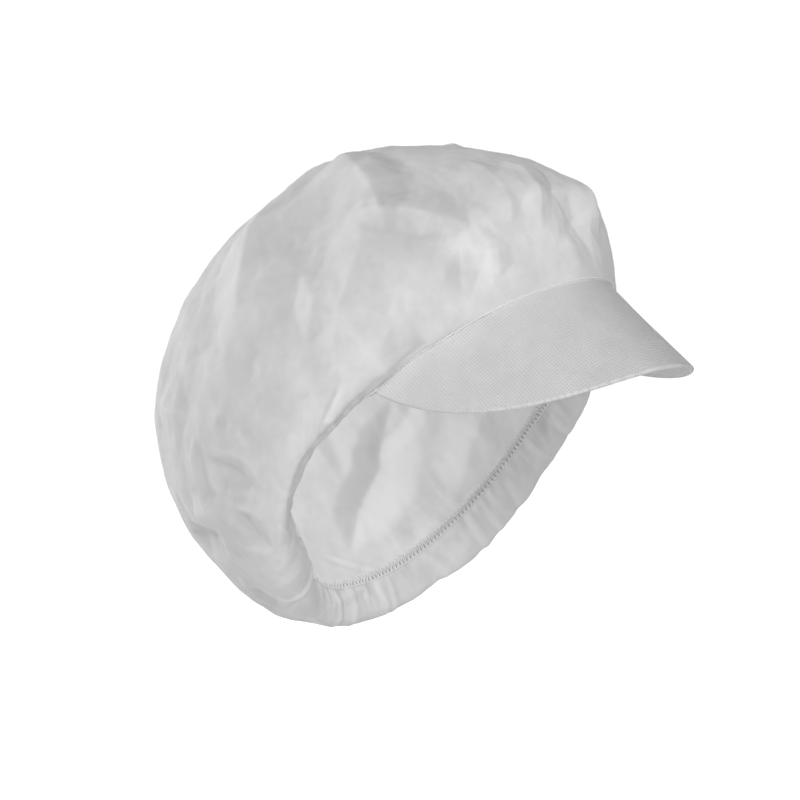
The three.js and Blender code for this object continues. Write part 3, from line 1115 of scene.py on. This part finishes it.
def looper_path(side, plan):
    """Zigzag of one looper thread: from the needle line down round half of the elastic."""
    stitches = int(edge_length() / STITCH_PITCH)
    count = stitches * STITCH_SAMPLES
    at, up, out = edge_frames(full_turn(count), plan)
    phase = (np.arange(count) / STITCH_SAMPLES) % 1.0
    top = NEEDLE_LINE * np.repeat(rng.uniform(*STITCH_UNEVENNESS, stitches), STITCH_SAMPLES)
    bottom = -(2 * ELASTIC_RADIUS + LOOP_BELOW_ELASTIC)
    height = top + (bottom - top) * (1 - np.cos(2 * math.pi * phase)) / 2
    past_elastic = np.exp(-(((height + ELASTIC_RADIUS) / LOOP_SPREAD) ** 2))
    bulge = past_elastic * (ELASTIC_RADIUS + LOOP_GAP)
    rounding = np.sqrt(np.clip((height - bottom) / LOOP_ROUNDING, 0, 1))
    lift = (THREAD_GAP + THREAD_RADIUS + bulge) * rounding
    points = at + up * height[:, None] + out * (side * lift)[:, None]
    return points, out * side


def make_loopers(plan, material):
    for side, name, node in (
        (1, "rim_upper_looper", "rim_upper_looper_thread"),
        (-1, "rim_lower_looper", "rim_lower_looper_thread"),
    ):
        points, normals = looper_path(side, plan)
        add_thread(name, node, points, normals, True, material)


def running_stitch(at, out, side, stitch):
    """A thread that shows on one face and dips through the cloth between stitches."""
    gone = np.concatenate([[0], np.cumsum(np.linalg.norm(np.diff(at, axis=0), axis=-1))])
    shown = np.tanh(STITCH_SNAP * (np.cos(2 * math.pi * gone / stitch) + STITCH_SHOWN))
    lift = side * (STITCH_LIFT + (THREAD_RADIUS + STITCH_DIP) * shown)
    return at + out * lift[:, None]


def make_rim_needle(plan, material):
    at, up, out = edge_frames(full_turn(NEEDLE_STEPS), plan)
    points = running_stitch(at + up * NEEDLE_LINE, out, 1, STITCH_PITCH)
    add_thread("rim_needle_line", "rim_needle_thread", points, out, True, material)


def make_peak_seam(plan, material):
    """The peak's needle thread on the outer face of the crown, and its looper thread inside."""
    front = np.linspace(-PEAK_HALF_SPAN, PEAK_HALF_SPAN, SEAM_STEPS)
    at, _, out = cloth_frame(front, PEAK_SEAM_INSET, plan)
    for side, name, node in (
        (1, "peak_seam_needle", "peak_seam_needle_thread"),
        (-1, "peak_seam_looper", "peak_seam_looper_thread"),
    ):
        points = running_stitch(at, out, side, SEAM_STITCH)
        add_thread(name, node, points, out, False, material)


# ---------------------------------------------------------------- peak

def peak_line(phi):
    start = opening_edge(phi)
    along = unit(start - APEX)
    edge_step = opening_edge(phi + NORMAL_STEP_PHI) - opening_edge(phi - NORMAL_STEP_PHI)
    out = unit(np.cross(along, edge_step))
    return start, along, out


def peak_reach(phi):
    share = np.abs(phi / PEAK_HALF_SPAN)
    return PEAK_DEPTH * np.clip(1 - share**PEAK_ROUNDING, 0, 1) ** PEAK_FULLNESS


def peak_flat(phi, reach):
    """Coordinates on the peak's cloth before it was bent, in mm."""
    fine = np.linspace(-PEAK_HALF_SPAN, PEAK_HALF_SPAN, ARC_SAMPLES + 1)
    _, along, _ = peak_line(fine)
    turn = np.linalg.norm(np.diff(along, axis=0), axis=-1)
    angle = np.concatenate([[0], np.cumsum(turn)])
    angle = np.interp(phi, fine, angle - angle[ARC_SAMPLES // 2])
    start = opening_edge(phi)
    radius = np.linalg.norm(start - APEX, axis=-1) + reach
    return np.stack([radius * np.sin(angle), radius * np.cos(angle)], axis=-1)


def flat_vectors(flat):
    """Flat coordinates with a third one of 0."""
    return np.concatenate([flat, 0 * flat[..., :1]], axis=-1)


def peak_sag(flat, run):
    """A slow waviness shared by the peak's three plies, none at the seam."""
    waves = noise(flat_vectors(flat), PEAK_SAG_SIZE, 9) * PEAK_SAG
    return waves * smooth_step(*PEAK_SAG_STARTS, run)


def make_peak_face(name, node, depth, towards, material):
    """One face ply of the peak, rolled over at its free edge to meet the other face.

    depth is how far below the peak's outer surface it lies; towards is +1 for the face that
    looks up and -1 for the one that looks down.
    """
    even = np.linspace(-1, 1, PEAK_COLUMNS)
    turned = PEAK_BUNCHING * np.sin(even * math.pi / 2) + (1 - PEAK_BUNCHING) * even
    phi = turned * (PEAK_HALF_SPAN - PEAK_END_GAP)
    start, along, out = peak_line(phi)
    reach = np.maximum(peak_reach(phi), PEAK_LEAST_REACH)
    run = np.linspace(0, 1, PEAK_ROWS)[None, :] * (reach[:, None] - EDGE_ROLL)
    flat = peak_flat(phi[:, None], run)
    lift = peak_sag(flat, run) - depth
    points = start[:, None] + along[:, None] * run[..., None] + out[:, None] * lift[..., None]
    turn = np.linspace(0, math.pi / 2, EDGE_ROLL_ROWS + 1)[1:]
    rolled = [
        start + along * (reach - EDGE_ROLL + EDGE_ROLL * math.sin(a))[:, None]
        + out * (lift[:, -1] - towards * EDGE_ROLL * (1 - math.cos(a)))[:, None]
        for a in turn
    ]
    points = np.concatenate([points, np.stack(rolled, axis=1)], axis=1)
    faces = grid_faces(PEAK_COLUMNS, PEAK_ROWS + EDGE_ROLL_ROWS, False)
    if towards < 0:
        faces = [face[::-1] for face in faces]
    made = add_object(name, points, faces, material)
    edge_flat = peak_flat(phi[:, None], reach[:, None] + 0 * turn[None, :])
    set_flat(made, flat_vectors(np.concatenate([flat, edge_flat], axis=1)))
    finish_peak_piece(made, node)


def finish_peak_piece(made, node):
    """Bakes the piece's placement into its mesh and hides the imported part that it stands in for."""
    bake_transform(made)
    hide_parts(node)


def make_board(material):
    """The stiffener, a thin closed board between the two faces."""
    phi = np.linspace(-BOARD_HALF_SPAN, BOARD_HALF_SPAN, BOARD_COLUMNS)
    start, along, out = peak_line(phi)
    length = peak_reach(phi) - BOARD_EDGE_MARGIN - BOARD_SEAM_MARGIN
    run = BOARD_SEAM_MARGIN + np.linspace(0, 1, BOARD_ROWS)[None, :] * length[:, None]
    lift = peak_sag(peak_flat(phi[:, None], run), run) - BOARD_TOP
    top = start[:, None] + along[:, None] * run[..., None] + out[:, None] * lift[..., None]
    bottom = top - out[:, None] * BOARD_THICKNESS
    sections = np.concatenate([bottom, top[:, ::-1]], axis=1)
    faces = tube_faces(BOARD_COLUMNS, 2 * BOARD_ROWS, False)
    made = add_object("peak_board", sections, faces, material)
    finish_peak_piece(made, "peak_stiffener")


# ---------------------------------------------------------------- build

make_camera()
make_world()
make_floor()
for softbox in SOFTBOXES:
    add_softbox(*softbox)
bpy.context.scene.view_settings.view_transform = "Standard"

creases = plan_creases()
make_crown(creases, crown_nonwoven())
thread = spun_thread("thread", 0.95)
make_elastic(creases, spun_thread("elastic", 0.84))
make_loopers(creases, thread)
make_rim_needle(creases, thread)
make_peak_seam(creases, thread)
peak_finish = peak_nonwoven()
make_peak_face("peak_upper_face", "peak_upper_ply", UPPER_TOP, 1, peak_finish)
make_peak_face("peak_lower_face", "peak_lower_ply", LOWER_BOTTOM, -1, peak_finish)
make_board(stiff_board())
